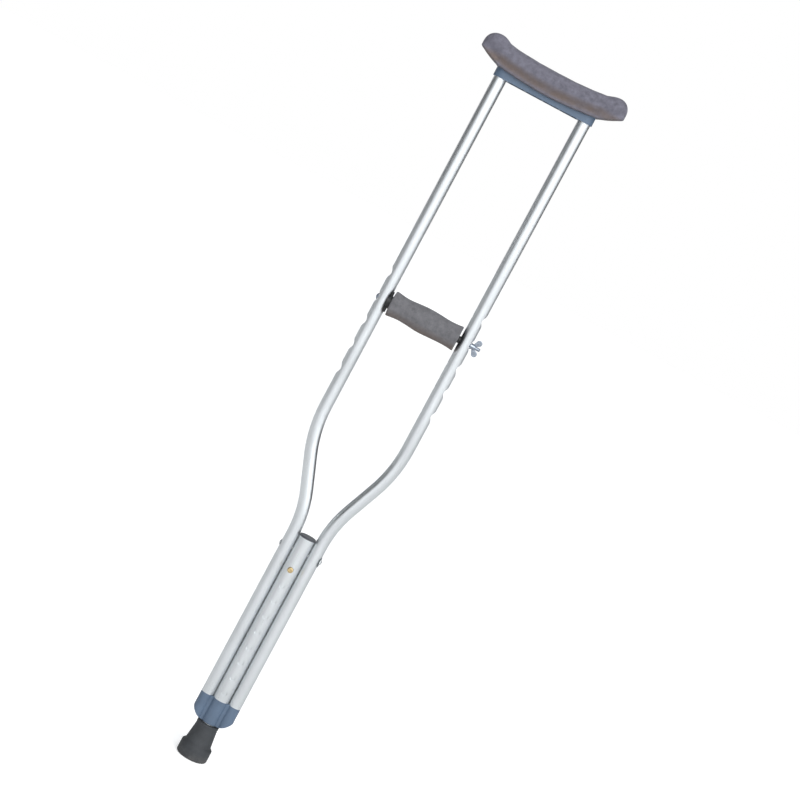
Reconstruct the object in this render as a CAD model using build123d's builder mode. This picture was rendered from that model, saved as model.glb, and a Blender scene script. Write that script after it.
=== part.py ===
from build123d import *

import math
import os

# Underarm crutch of aluminium tube, standing upright on its tip. Millimetres, +Z up, X across, the side
# with the button towards -Y. The origin is the centre of the tip's foot, on the floor.

# Tubes
bow_diameter = 19.0
bow_wall = 1.2
center_diameter = 25.0
center_wall = 1.2
leg_wall = 1.2
leg_clearance = 0.2
tube_gap = 0.05

# Heights, from the floor up
tip_height = 55.5
tip_floor = 10.5
collar_above_tip = 1.5
collar_height = 37.5
first_hole_above_collar = 13.8
hole_pitch = 25.4
hole_count = 9
rivet_above_button = 27.0
center_top_above_rivet = 22.5
lowest_grip_hole = 599.1
grip_hole_pitch = 38.1
grip_hole_count = 5
grip_step_count = 3
saddle_bottom = 1061.0

# Bows: straight, out through the bend, straight again
bow_spacing = 132.0
bend_start = 359.0
bend_angle = 21.5
lower_bend_radius = 175.0
upper_bend_radius = 200.0
dent_depth = 3.2
dent_half_length = 11.0

# Leg lock
adjust_hole_diameter = 9.0
button_diameter = 8.4
button_proud = 3.6
button_flange_diameter = 11.5
button_flange_thickness = 1.0
button_edge = 1.6
button_tail_diameter = 3.8
button_tail_past_spring = 0.8
button_fit = 0.1
spring_thickness = 0.7
spring_width = 9.0
spring_above_button = 9.0
spring_arm = 18.0
spring_length = 62.0
spring_toe = 9.0
spring_bend = 3.0
leg_top_gap = 4.0

# Collar
collar_side_height = 23.5
collar_flat = 29.0
collar_bulge = 1.8
collar_web = 13.0
collar_clearance = 0.1

# Spigots of the collar and the saddle inside the bows
spigot_clearance = 0.1
spigot_length = 22.0
spigot_chamfer = 1.5

# Cap of the centre tube
cap_thickness = 3.0
cap_skirt = 12.0
cap_skirt_wall = 2.0
cap_edge = 0.8

# Rivets
cross_rivet_diameter = 5.0
cross_rivet_head = 8.5
cross_rivet_head_height = 1.8
cross_washer_diameter = 15.0
cross_washer_thickness = 1.0
saddle_rivet_diameter = 4.0
saddle_rivet_head = 8.0
saddle_rivet_head_height = 1.6
saddle_rivet_drop = 11.0
saddle_rivet_depth = 8.0
rivet_clearance = 0.1

# Grip
grip_bolt_diameter = 5.0
grip_hole_clearance = 0.25
bolt_head_diameter = 10.0
bolt_head_height = 3.0
bolt_head_rim = 0.6
bolt_end_past_nut = 8.5
bolt_end_chamfer = 0.8
bolt_seat_gap = 0.05
spacer_plate = 1.5
spacer_height = 38.0
spacer_width = 16.0
spacer_boss_diameter = 19.0
spacer_boss_length = 3.6
grip_end_gap = 0.1
core_diameter = 26.0
core_wall = 3.0
core_rib = 2.2
core_rib_count = 6
core_hub_wall = 3.0
foam_length = 107.0
foam_shift = 1.2
foam_belly_diameter = 40.0
foam_neck_diameter = 37.4
foam_rim_diameter = 39.8
foam_neck_from_end = 13.0
foam_edge = 2.0
foam_fit = 0.1

# Wing nut
nut_washer_diameter = 10.0
nut_washer_thickness = 1.0
nut_hub_diameter = 8.6
nut_hub_tip_diameter = 7.6
nut_hub_length = 6.0
nut_bore_clearance = 0.1
wing_reach = 8.3
wing_lobe_radius = 4.3
wing_root_radius = 1.7
wing_root_reach = 2.6
wing_root_inset = 2.0
wing_overhang = 3.2
wing_dish_radius = 2.6
wing_thickness = 2.2
wing_dish = 0.4
wing_edge = 0.5

# Saddle
saddle_length = 155.0
saddle_depth = 26.0
saddle_socket_depth = 12.0
saddle_socket_clearance = 0.1
saddle_wall = 2.6
saddle_rib = 2.0
saddle_rib_count = 3
plate_thickness = 7.0
plate_depth = 34.0
plate_end_margin = 14.0
plate_rise = 12.0
plate_above_saddle_bottom = 22.0
plate_corner = 9.0

# Pad
pad_half_length = 112.0
pad_depth = 46.0
pad_middle_height = 42.5
pad_horn_height = 52.0
pad_shoulder_from_end = 40.0
pad_shoulder_rise = 3.2
pad_shoulder_slope = 0.11
pad_horn_radius = 17.0
pad_tip_height = 27.5
pad_lip_middle = 6.6
pad_lip_end = 12.4
pad_top_edge = 13.0
pad_fit = 0.2

# Tip
tip_foot_diameter = 47.5
tip_foot_height = 19.0
tip_shoulder_height = 23.0
tip_shoulder_diameter = 42.6
tip_waist_height = 38.0
tip_waist_diameter = 37.0
tip_neck_diameter = 33.0
tip_rim_height = 4.0
tip_rim_proud = 0.5
tip_foot_edge = 3.0
tip_fit = 0.05
tread_depth = 1.5
tread_groove = 1.8
tread_pitch = 4.4
tread_count = 3
tread_first_radius = 6.0
tip_washer_thickness = 1.5
tip_washer_clearance = 0.2

# Places and sizes that follow from the ones above
bow_radius = bow_diameter / 2
bow_bore_radius = bow_radius - bow_wall
center_radius = center_diameter / 2
center_bore_radius = center_radius - center_wall
leg_radius = center_bore_radius - leg_clearance
leg_bore_radius = leg_radius - leg_wall
bow_x_low = center_radius + bow_radius + tube_gap
bow_x_high = bow_spacing / 2
cluster_half_width = bow_x_low + bow_radius
collar_bottom = tip_height + collar_above_tip
collar_top = collar_bottom + collar_height
adjust_heights = [collar_top + first_hole_above_collar + hole_pitch * i for i in range(hole_count)]
button_height = adjust_heights[-1]
rivet_height = button_height + rivet_above_button
center_top = rivet_height + center_top_above_rivet
leg_bottom = tip_floor + tip_washer_thickness
leg_top = rivet_height - cross_rivet_diameter / 2 - leg_top_gap
grip_hole_heights = [lowest_grip_hole + grip_hole_pitch * i for i in range(grip_hole_count)]
grip_height = lowest_grip_hole + grip_hole_pitch * grip_step_count
grip_hole_radius = grip_bolt_diameter / 2 + grip_hole_clearance
bow_top = saddle_bottom + saddle_socket_depth
spigot_radius = bow_bore_radius - spigot_clearance
saddle_rivet_height = saddle_bottom - saddle_rivet_drop
bow_outer_face = bow_x_high + bow_radius
bow_inner_face = bow_x_high - bow_radius
spacer_plate_face = bow_inner_face - tube_gap - spacer_plate
spacer_edge_face = bow_x_high - math.sqrt((bow_radius + tube_gap) ** 2 - (spacer_width / 2) ** 2)
spacer_wrap_depth = spacer_edge_face - spacer_plate_face
core_half_length = spacer_plate_face - spacer_boss_length - grip_end_gap

bend_sine = math.sin(math.radians(bend_angle))
bend_rise = 1 - math.cos(math.radians(bend_angle))
bend_offset = bow_x_high - bow_x_low
slope_length = (bend_offset - (lower_bend_radius + upper_bend_radius) * bend_rise) / bend_sine

# The four arcs of a dent share this radius
dent_arc_radius = (dent_half_length**2 + dent_depth**2) / (4 * dent_depth)

# The saddle's plate is a slice of a ring about a centre high above it
plate_bottom = saddle_bottom + plate_above_saddle_bottom
plate_half_length = pad_half_length - plate_end_margin
plate_radius = (plate_half_length**2 + plate_rise**2) / (2 * plate_rise)
plate_center_height = plate_bottom + plate_radius


def finish(piece, name):
    """Name a finished piece and write it as one file."""
    piece.part.label = name
    export_step(piece.part, f"parts/{name}.step")


def dent_depth_at(offset):
    """How far the bow's outer side lies below its full width, at a distance from a grip hole."""
    if offset < dent_half_length / 2:
        return dent_depth - dent_arc_radius + math.sqrt(dent_arc_radius**2 - offset**2)
    left = max(dent_half_length - offset, 0)
    return dent_arc_radius - math.sqrt(dent_arc_radius**2 - left**2)


def dent(face, height):
    """Closed wave against the line x = face: two easing arcs into a round hollow, for one grip hole."""
    deep = face - dent_depth
    middle = face - dent_depth / 2
    quarter = dent_half_length / 2
    low = height - dent_half_length
    high = height + dent_half_length
    with BuildLine() as wave:
        TangentArc((face, low), (middle, height - quarter), tangent=(0, 1))
        ThreePointArc((middle, height - quarter), (deep, height), (middle, height + quarter))
        TangentArc((face, high), (middle, height + quarter), tangent=(0, -1))
        Polyline((face, high), (face + dent_depth, high), (face + dent_depth, low), (face, low))
    return wave.line


def bow_bar(radius):
    """Solid bar of one radius along the right bow, pressed in on its outer side at each grip hole."""
    with BuildPart() as bar:
        with BuildLine(Plane.XZ) as route:
            foot = Line((bow_x_low, collar_top), (bow_x_low, bend_start))
            outward = JernArc(foot @ 1, foot % 1, lower_bend_radius, -bend_angle)
            slope = PolarLine(outward @ 1, slope_length, direction=outward % 1)
            inward = JernArc(slope @ 1, slope % 1, upper_bend_radius, bend_angle)
            Line(inward @ 1, (bow_x_high, bow_top))
        with BuildSketch(Plane.XY.offset(collar_top)):
            with Locations((bow_x_low, 0)):
                Circle(radius)
        sweep(path=route.wire())
        with BuildSketch(Plane.XZ):
            for height in grip_hole_heights:
                add(dent(bow_x_high + radius, height))
                make_face()
        extrude(amount=radius, both=True, mode=Mode.SUBTRACT)
    return bar.part


def tube(height, outer_radius, inner_radius, bottom):
    """Straight round tube on the crutch's centre line."""
    with BuildPart() as pipe:
        with BuildSketch(Plane.XY.offset(bottom)):
            Circle(outer_radius)
            Circle(inner_radius, mode=Mode.SUBTRACT)
        extrude(amount=height)
    return pipe.part


def spigot(x, bottom, top, chamfer_top):
    """Round peg that plugs a bow at x, with a chamfer on its free end."""
    with BuildPart() as peg:
        with BuildSketch(Plane.XY.offset(bottom)):
            with Locations((x, 0)):
                Circle(spigot_radius)
        extrude(amount=top - bottom)
        ends = peg.faces().sort_by(Axis.Z)
        free_end = ends[-1] if chamfer_top else ends[0]
        chamfer(free_end.edges(), spigot_chamfer)
    return peg.part


def crescent(grow):
    """The saddle's plate, or with a fit for grow the room that the pad leaves for it."""
    tall = plate_rise + 4 * plate_thickness
    with BuildPart() as plate:
        with BuildSketch(Plane.XZ):
            with Locations((0, plate_center_height)):
                Circle(plate_radius + grow)
                Circle(plate_radius - plate_thickness - grow, mode=Mode.SUBTRACT)
            with Locations((0, plate_bottom - plate_thickness)):
                Rectangle(
                    2 * (plate_half_length + grow),
                    tall,
                    align=(Align.CENTER, Align.MIN),
                    mode=Mode.INTERSECT,
                )
        extrude(amount=plate_depth / 2 + grow, both=True)
        fillet(plate.edges().filter_by(Axis.Z), plate_corner + grow)
    return plate.part


def beam(grow):
    """The saddle's beam with its round ends, up into the middle of the plate."""
    with BuildPart() as bar:
        with BuildSketch(Plane.XY.offset(saddle_bottom)):
            SlotOverall(saddle_length + 2 * grow, saddle_depth + 2 * grow)
        extrude(amount=plate_above_saddle_bottom + plate_rise)
        with BuildSketch(Plane.XZ):
            with Locations((0, plate_center_height)):
                Circle(plate_radius - plate_thickness / 2)
        extrude(amount=saddle_depth, both=True, mode=Mode.SUBTRACT)
    return bar.part


os.makedirs("parts", exist_ok=True)

# Bows. The wall follows the dents, so the bore is the same bar, one wall smaller.
with BuildPart() as right_bow:
    add(bow_bar(bow_radius))
    add(bow_bar(bow_bore_radius), mode=Mode.SUBTRACT)
    with BuildSketch(Plane.YZ.offset(bow_x_high)):
        with Locations(*[(0, height) for height in grip_hole_heights]):
            Circle(grip_hole_radius)
    extrude(amount=bow_diameter, both=True, mode=Mode.SUBTRACT)
    with BuildSketch(Plane.YZ.offset(bow_x_low)):
        with Locations((0, rivet_height)):
            Circle(cross_rivet_diameter / 2 + rivet_clearance)
    extrude(amount=bow_diameter, both=True, mode=Mode.SUBTRACT)
    with BuildSketch(Plane.XZ):
        with Locations((bow_x_high, saddle_rivet_height)):
            Circle(saddle_rivet_diameter / 2 + rivet_clearance)
    extrude(amount=-bow_diameter, mode=Mode.SUBTRACT)
finish(right_bow, "right_bow")

with BuildPart() as left_bow:
    mirror(right_bow.part, about=Plane.YZ)
finish(left_bow, "left_bow")

# Centre tube, with its row of adjustment holes at the front and the rivet's hole across
with BuildPart() as center_tube:
    add(tube(center_top - collar_top, center_radius, center_bore_radius, collar_top))
    with BuildSketch(Plane.XZ):
        with Locations(*[(0, height) for height in adjust_heights]):
            Circle(adjust_hole_diameter / 2)
    extrude(amount=center_diameter, mode=Mode.SUBTRACT)
    with BuildSketch(Plane.YZ):
        with Locations((0, rivet_height)):
            Circle(cross_rivet_diameter / 2 + rivet_clearance)
    extrude(amount=center_diameter, both=True, mode=Mode.SUBTRACT)
finish(center_tube, "center_tube")

# Plug in the centre tube's top: a cap with a hollow skirt
with BuildPart() as center_tube_cap:
    with BuildSketch(Plane.XY.offset(center_top)):
        Circle(center_radius)
    extrude(amount=cap_thickness)
    fillet(center_tube_cap.faces().sort_by(Axis.Z)[-1].edges(), cap_edge)
    with BuildSketch(Plane.XY.offset(center_top)):
        Circle(center_bore_radius - tube_gap)
        Circle(center_bore_radius - tube_gap - cap_skirt_wall, mode=Mode.SUBTRACT)
    extrude(amount=-cap_skirt)
finish(center_tube_cap, "center_tube_cap")

# Collar: three lobes that continue the three tubes, tapered at the bottom, with a spigot into each bow
with BuildPart() as bottom_collar:
    with BuildSketch(Plane.XY.offset(collar_bottom)):
        Circle(center_radius)
        with Locations((-bow_x_low, 0), (bow_x_low, 0)):
            Circle(bow_radius)
        Rectangle(2 * bow_x_low, collar_web)
    extrude(amount=collar_height)
    with BuildSketch(Plane.XZ):
        side_end = collar_top - collar_side_height
        flat_end = collar_flat / 2
        across = cluster_half_width - flat_end
        down = side_end - collar_bottom
        chord = math.hypot(across, down)
        belly_x = (cluster_half_width + flat_end) / 2 + collar_bulge * down / chord
        belly_z = (side_end + collar_bottom) / 2 - collar_bulge * across / chord
        with BuildLine():
            Line((0, collar_bottom), (flat_end, collar_bottom))
            ThreePointArc((flat_end, collar_bottom), (belly_x, belly_z), (cluster_half_width, side_end))
            Line((cluster_half_width, side_end), (cluster_half_width, collar_top))
            Line((cluster_half_width, collar_top), (0, collar_top))
            mirror(about=Plane.YZ)
        make_face()
    extrude(amount=center_radius, both=True, mode=Mode.INTERSECT)
    for x in (-bow_x_low, bow_x_low):
        add(spigot(x, collar_top, collar_top + spigot_length, chamfer_top=True))
    with BuildSketch(Plane.XY.offset(collar_bottom)):
        Circle(leg_radius + collar_clearance)
    extrude(amount=collar_height, mode=Mode.SUBTRACT)
finish(bottom_collar, "bottom_collar")

# Rivet through the bows and the centre tube: shank and two low domes, turned about X
with BuildPart() as cross_rivet:
    with BuildSketch(Plane.XY.offset(rivet_height)):
        left_seat = -cluster_half_width
        right_seat = cluster_half_width + cross_washer_thickness
        head_radius = cross_rivet_head / 2
        with BuildLine():
            Line((left_seat - cross_rivet_head_height, 0), (right_seat + cross_rivet_head_height, 0))
            TangentArc(
                (left_seat - cross_rivet_head_height, 0), (left_seat, head_radius), tangent=(0, 1)
            )
            Polyline(
                (left_seat, head_radius),
                (left_seat, cross_rivet_diameter / 2),
                (right_seat, cross_rivet_diameter / 2),
                (right_seat, head_radius),
            )
            TangentArc(
                (right_seat + cross_rivet_head_height, 0), (right_seat, head_radius), tangent=(0, 1)
            )
        make_face()
    revolve(axis=Axis((0, 0, rivet_height), (1, 0, 0)))
finish(cross_rivet, "cross_rivet")

with BuildPart() as cross_rivet_washer:
    with BuildSketch(Plane.YZ.offset(cluster_half_width)):
        with Locations((0, rivet_height)):
            Circle(cross_washer_diameter / 2)
            Circle(cross_rivet_diameter / 2 + rivet_clearance, mode=Mode.SUBTRACT)
    extrude(amount=cross_washer_thickness)
finish(cross_rivet_washer, "cross_rivet_washer")

# Saddle: a beam with round ends, open below between its sockets, under a crescent plate
with BuildPart() as saddle:
    add(crescent(0))
    add(beam(0))
    pocket_length = 2 * (bow_inner_face - saddle_socket_clearance - saddle_wall)
    with BuildSketch(Plane.XY.offset(saddle_bottom)):
        RectangleRounded(pocket_length, saddle_depth - 2 * saddle_wall, saddle_wall)
        with GridLocations(pocket_length / (saddle_rib_count + 1), 0, saddle_rib_count, 1):
            Rectangle(saddle_rib, saddle_depth, mode=Mode.SUBTRACT)
    extrude(amount=plate_above_saddle_bottom - saddle_wall, mode=Mode.SUBTRACT)
    with BuildSketch(Plane.XY.offset(saddle_bottom)):
        with Locations((-bow_x_high, 0), (bow_x_high, 0)):
            Circle(bow_radius + saddle_socket_clearance)
    extrude(amount=saddle_socket_depth, mode=Mode.SUBTRACT)
    for x in (-bow_x_high, bow_x_high):
        add(spigot(x, saddle_bottom - spigot_length, bow_top, chamfer_top=False))
    with BuildSketch(Plane.XZ.offset(-spigot_radius)):
        with Locations((-bow_x_high, saddle_rivet_height), (bow_x_high, saddle_rivet_height)):
            Circle(saddle_rivet_diameter / 2 + rivet_clearance)
    extrude(amount=saddle_rivet_depth, mode=Mode.SUBTRACT)
finish(saddle, "saddle")

# One rivet at the back of each bow, into the saddle's spigot
with BuildPart() as saddle_rivets:
    for x in (-bow_x_high, bow_x_high):
        with BuildSketch(Plane.XY.offset(saddle_rivet_height)):
            shank_side = x + saddle_rivet_diameter / 2
            head_side = x + saddle_rivet_head / 2
            tail = spigot_radius - saddle_rivet_depth + rivet_clearance
            crown = bow_radius + saddle_rivet_head_height
            with BuildLine():
                Polyline(
                    (x, crown), (x, tail), (shank_side, tail), (shank_side, bow_radius), (head_side, bow_radius)
                )
                TangentArc((x, crown), (head_side, bow_radius), tangent=(1, 0))
            make_face()
        revolve(axis=Axis((x, 0, saddle_rivet_height), (0, 1, 0)))
finish(saddle_rivets, "saddle_rivets")

# Pad: a thick crescent with raised ends, pulled over the saddle's plate
with BuildPart() as underarm_pad:
    with BuildSketch(Plane.XZ):
        middle = (0, saddle_bottom + pad_middle_height)
        shoulder = (pad_half_length - pad_shoulder_from_end, saddle_bottom + pad_middle_height + pad_shoulder_rise)
        horn_top = (pad_half_length - pad_horn_radius, saddle_bottom + pad_horn_height)
        horn_side = (pad_half_length, saddle_bottom + pad_horn_height - pad_horn_radius)
        end_tip = (pad_half_length, saddle_bottom + pad_tip_height)
        lip_end = (saddle_length / 2, saddle_bottom + pad_lip_end)
        lip_middle = (0, saddle_bottom + pad_lip_middle)
        with BuildLine():
            Spline(shoulder, horn_top, tangents=((1, pad_shoulder_slope), (1, 0)))
            TangentArc(horn_top, horn_side, tangent=(1, 0))
            Polyline(horn_side, end_tip, lip_end)
            mirror(about=Plane.YZ)
            ThreePointArc((-shoulder[0], shoulder[1]), middle, shoulder)
            ThreePointArc((-lip_end[0], lip_end[1]), lip_middle, lip_end)
        make_face()
    extrude(amount=pad_depth / 2, both=True)
    rims = underarm_pad.faces().filter_by(Axis.Y).edges()
    fillet(rims.filter_by(lambda edge: edge.center().Z > end_tip[1]), pad_top_edge)
    add(crescent(pad_fit), mode=Mode.SUBTRACT)
    add(beam(pad_fit), mode=Mode.SUBTRACT)
finish(underarm_pad, "underarm_pad")

# Spacers: a plate that hugs the bow's inner side, with a round boss towards the grip
with BuildPart() as grip_spacer_right:
    with BuildSketch(Plane.YZ.offset(spacer_plate_face)):
        with Locations((0, grip_height)):
            SlotOverall(spacer_height, spacer_width, rotation=90)
    extrude(amount=bow_radius)
    with BuildSketch(Plane.XY.offset(grip_height)):
        with Locations((bow_x_high, 0)):
            Circle(bow_radius + tube_gap + spacer_plate)
    extrude(amount=spacer_height / 2, both=True, mode=Mode.INTERSECT)
    with BuildSketch(Plane.YZ.offset(spacer_plate_face - spacer_boss_length)):
        with Locations((0, grip_height)):
            Circle(spacer_boss_diameter / 2)
    extrude(amount=spacer_boss_length + spacer_wrap_depth)
    with BuildSketch(Plane.XY.offset(grip_height)):
        with Locations((bow_x_high, 0)):
            Circle(bow_radius + tube_gap)
    extrude(amount=spacer_height / 2, both=True, mode=Mode.SUBTRACT)
    with BuildSketch(Plane.YZ):
        with Locations((0, grip_height)):
            Circle(grip_hole_radius)
    extrude(amount=bow_x_high, mode=Mode.SUBTRACT)
finish(grip_spacer_right, "grip_spacer_right")

with BuildPart() as grip_spacer_left:
    mirror(grip_spacer_right.part, about=Plane.YZ)
finish(grip_spacer_left, "grip_spacer_left")

# Core of the grip: tube and hub joined by ribs
with BuildPart() as grip_core:
    with BuildSketch(Plane.YZ.offset(-core_half_length)):
        with Locations((0, grip_height)):
            Circle(core_diameter / 2)
            Circle(core_diameter / 2 - core_wall, mode=Mode.SUBTRACT)
            Circle(grip_hole_radius + core_hub_wall)
            with PolarLocations(0, core_rib_count):
                Rectangle(core_diameter / 2 - core_wall / 2, core_rib, align=(Align.MIN, Align.CENTER))
            Circle(grip_hole_radius, mode=Mode.SUBTRACT)
    extrude(amount=2 * core_half_length)
finish(grip_core, "grip_core")

# Foam sleeve on the core, full in the middle, drawn in near its ends and flared at its rims
with BuildPart() as grip_foam:
    with BuildSketch(Plane.XZ):
        left_end = foam_shift - foam_length / 2
        right_end = foam_shift + foam_length / 2
        inner = grip_height + core_diameter / 2 + foam_fit
        rim = grip_height + foam_rim_diameter / 2
        neck = grip_height + foam_neck_diameter / 2
        belly = grip_height + foam_belly_diameter / 2
        with BuildLine():
            Spline(
                (left_end + foam_edge, rim),
                (left_end + foam_neck_from_end, neck),
                (foam_shift, belly),
                (right_end - foam_neck_from_end, neck),
                (right_end - foam_edge, rim),
            )
            TangentArc((right_end, rim - foam_edge), (right_end - foam_edge, rim), tangent=(0, 1))
            Polyline((right_end, rim - foam_edge), (right_end, inner), (left_end, inner), (left_end, rim - foam_edge))
            TangentArc((left_end, rim - foam_edge), (left_end + foam_edge, rim), tangent=(0, 1))
        make_face()
    revolve(axis=Axis((0, 0, grip_height), (1, 0, 0)))
finish(grip_foam, "grip_foam")

# Bolt through the grip. Its head bridges the dent in the left bow.
head_seat = bow_outer_face - dent_depth_at(bolt_head_diameter / 2) + bolt_seat_gap
washer_seat = bow_outer_face - dent_depth_at(nut_washer_diameter / 2) + bolt_seat_gap
nut_seat = washer_seat + nut_washer_thickness
hub_end = nut_seat + nut_hub_length
bolt_end = hub_end + bolt_end_past_nut
with BuildPart() as grip_bolt:
    with BuildSketch(Plane.XY.offset(grip_height)):
        head_radius = bolt_head_diameter / 2
        shank = grip_bolt_diameter / 2
        with BuildLine():
            Polyline(
                (-head_seat - bolt_head_height, 0),
                (bolt_end, 0),
                (bolt_end, shank - bolt_end_chamfer),
                (bolt_end - bolt_end_chamfer, shank),
                (-head_seat, shank),
                (-head_seat, head_radius),
                (-head_seat - bolt_head_rim, head_radius),
            )
            TangentArc(
                (-head_seat - bolt_head_height, 0), (-head_seat - bolt_head_rim, head_radius), tangent=(0, 1)
            )
        make_face()
    revolve(axis=Axis((0, 0, grip_height), (1, 0, 0)))
finish(grip_bolt, "grip_bolt")

with BuildPart() as grip_washer:
    with BuildSketch(Plane.YZ.offset(washer_seat)):
        with Locations((0, grip_height)):
            Circle(nut_washer_diameter / 2)
            Circle(grip_bolt_diameter / 2 + nut_bore_clearance, mode=Mode.SUBTRACT)
    extrude(amount=nut_washer_thickness)
finish(grip_washer, "grip_washer")

# Wing nut: tapered hub, and two dished wings that lean outwards from it
with BuildPart() as wing_nut:
    with BuildSketch(Plane.XZ):
        for side in (-1, 1):
            with BuildSketch(mode=Mode.PRIVATE) as wing:
                with Locations((hub_end - wing_root_inset, grip_height + side * wing_root_reach)):
                    Circle(wing_root_radius)
                with Locations((hub_end + wing_overhang, grip_height + side * wing_reach)):
                    Circle(wing_lobe_radius)
                make_hull()
            add(wing.sketch)
    extrude(amount=wing_thickness / 2, both=True)
    fillet(wing_nut.faces().filter_by(Axis.Y).edges(), wing_edge)
    for face in wing_nut.faces().filter_by(Axis.Y):
        side_sign = math.copysign(1, face.center().Z - grip_height)
        dish_plane = Plane(
            origin=(hub_end + wing_overhang, face.center().Y, grip_height + side_sign * wing_reach),
            z_dir=face.normal_at(),
        )
        with BuildSketch(dish_plane):
            Circle(wing_dish_radius)
        extrude(amount=-wing_dish, mode=Mode.SUBTRACT)
    with BuildSketch(Plane.XY.offset(grip_height)):
        Polygon(
            (nut_seat, 0),
            (nut_seat, nut_hub_diameter / 2),
            (hub_end, nut_hub_tip_diameter / 2),
            (hub_end, 0),
            align=None,
        )
    revolve(axis=Axis((0, 0, grip_height), (1, 0, 0)))
    with BuildSketch(Plane.YZ.offset(nut_seat)):
        with Locations((0, grip_height)):
            Circle(grip_bolt_diameter / 2 + nut_bore_clearance)
    extrude(amount=2 * nut_hub_length, mode=Mode.SUBTRACT)
finish(wing_nut, "wing_nut")

# Leg: one tube, with a hole for the button at the front
with BuildPart() as leg_tube:
    add(tube(leg_top - leg_bottom, leg_radius, leg_bore_radius, leg_bottom))
    with BuildSketch(Plane.XZ):
        with Locations((0, button_height)):
            Circle(adjust_hole_diameter / 2)
    extrude(amount=center_diameter, mode=Mode.SUBTRACT)
finish(leg_tube, "leg_tube")

# Button: domed pin with a flange that stops against the leg's bore, turned about its own axis
flange_radius = button_flange_diameter / 2
flange_front = -math.sqrt(leg_bore_radius**2 - flange_radius**2) + button_fit
flange_back = flange_front + button_flange_thickness
button_tip = -center_radius - button_proud
with BuildPart() as snap_button:
    with BuildSketch(Plane.XY.offset(button_height)):
        with BuildLine():
            Line((0, button_tip), (button_diameter / 2 - button_edge, button_tip))
            TangentArc(
                (button_diameter / 2 - button_edge, button_tip),
                (button_diameter / 2, button_tip + button_edge),
                tangent=(1, 0),
            )
            Polyline(
                (button_diameter / 2, button_tip + button_edge),
                (button_diameter / 2, flange_front),
                (flange_radius, flange_front),
                (flange_radius, flange_back),
                (button_tail_diameter / 2, flange_back),
                (button_tail_diameter / 2, flange_back + spring_thickness + button_tail_past_spring),
                (0, flange_back + spring_thickness + button_tail_past_spring),
                (0, button_tip),
            )
        make_face()
    revolve(axis=Axis((0, 0, button_height), (0, 1, 0)))
finish(snap_button, "snap_button")

# Leaf spring in the leg: its front arm carries the button, its back arm lies on the bore's far side
with BuildPart() as button_spring:
    front_arm = flange_back + tube_gap + spring_thickness / 2
    back_arm = math.sqrt(leg_bore_radius**2 - (spring_width / 2) ** 2) - button_fit - spring_thickness / 2
    spring_top = button_height + spring_above_button
    spring_foot = spring_top - spring_length
    with BuildSketch(Plane.YZ):
        with BuildLine() as leaf:
            FilletPolyline(
                (front_arm, spring_top),
                (front_arm, button_height - spring_arm + spring_above_button),
                (back_arm - spring_toe, spring_foot),
                (back_arm, spring_foot),
                (back_arm, spring_top),
                radius=spring_bend,
            )
        trace(leaf.line, line_width=spring_thickness)
    extrude(amount=spring_width / 2, both=True)
    with BuildSketch(Plane.XZ):
        with Locations((0, button_height)):
            Circle(button_tail_diameter / 2 + button_fit)
    extrude(amount=leg_radius, mode=Mode.SUBTRACT)
finish(button_spring, "button_spring")

# Rubber tip: broad foot, tapered neck with a rim, socket for the leg, ring grooves under the foot
with BuildPart() as tip:
    with BuildSketch(Plane.XZ):
        foot = tip_foot_diameter / 2
        neck_radius = tip_neck_diameter / 2
        rim_bottom = tip_height - tip_rim_height
        with BuildLine():
            Line((0, 0), (foot - tip_foot_edge, 0))
            TangentArc((foot - tip_foot_edge, 0), (foot, tip_foot_edge), tangent=(1, 0))
            Polyline(
                (foot, tip_foot_edge),
                (foot, tip_foot_height),
                (tip_shoulder_diameter / 2, tip_shoulder_height),
            )
            ThreePointArc(
                (tip_shoulder_diameter / 2, tip_shoulder_height),
                (tip_waist_diameter / 2, tip_waist_height),
                (neck_radius, rim_bottom),
            )
            Polyline(
                (neck_radius, rim_bottom),
                (neck_radius + tip_rim_proud, rim_bottom + tip_rim_proud),
                (neck_radius + tip_rim_proud, tip_height),
                (leg_radius + tip_fit, tip_height),
                (leg_radius + tip_fit, tip_floor),
                (0, tip_floor),
                (0, 0),
            )
        make_face()
        for ring in range(tread_count):
            with Locations((tread_first_radius + ring * tread_pitch, 0)):
                Rectangle(tread_groove, 2 * tread_depth, mode=Mode.SUBTRACT)
    revolve(axis=Axis.Z)
finish(tip, "tip")

with BuildPart() as tip_washer:
    with BuildSketch(Plane.XY.offset(tip_floor)):
        Circle(leg_radius - tip_washer_clearance)
    extrude(amount=tip_washer_thickness)
finish(tip_washer, "tip_washer")
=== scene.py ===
import math
from collections import namedtuple

import bmesh
import bpy
from bpy.props import FloatProperty, FloatVectorProperty, IntProperty, PointerProperty
from bpy.types import Operator, Panel, PropertyGroup
from mathutils import Matrix, Vector, noise
from mathutils.bvhtree import BVHTree


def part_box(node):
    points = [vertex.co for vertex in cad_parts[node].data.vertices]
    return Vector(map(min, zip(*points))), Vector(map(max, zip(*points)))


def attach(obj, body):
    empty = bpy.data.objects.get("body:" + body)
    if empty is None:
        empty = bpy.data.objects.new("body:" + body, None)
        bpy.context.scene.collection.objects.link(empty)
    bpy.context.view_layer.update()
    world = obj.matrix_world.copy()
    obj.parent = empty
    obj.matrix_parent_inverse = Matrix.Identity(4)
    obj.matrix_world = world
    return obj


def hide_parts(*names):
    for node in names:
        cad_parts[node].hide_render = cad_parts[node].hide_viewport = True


bl_info = {
    "name": "Underarm crutch",
    "version": (1, 0, 0),
    "blender": (4, 5, 0),
    "location": "3D View > Sidebar > Crutch",
    "description": "Foam, rubber and metal finishes of an underarm crutch, and its studio",
    "category": "Object",
}

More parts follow.
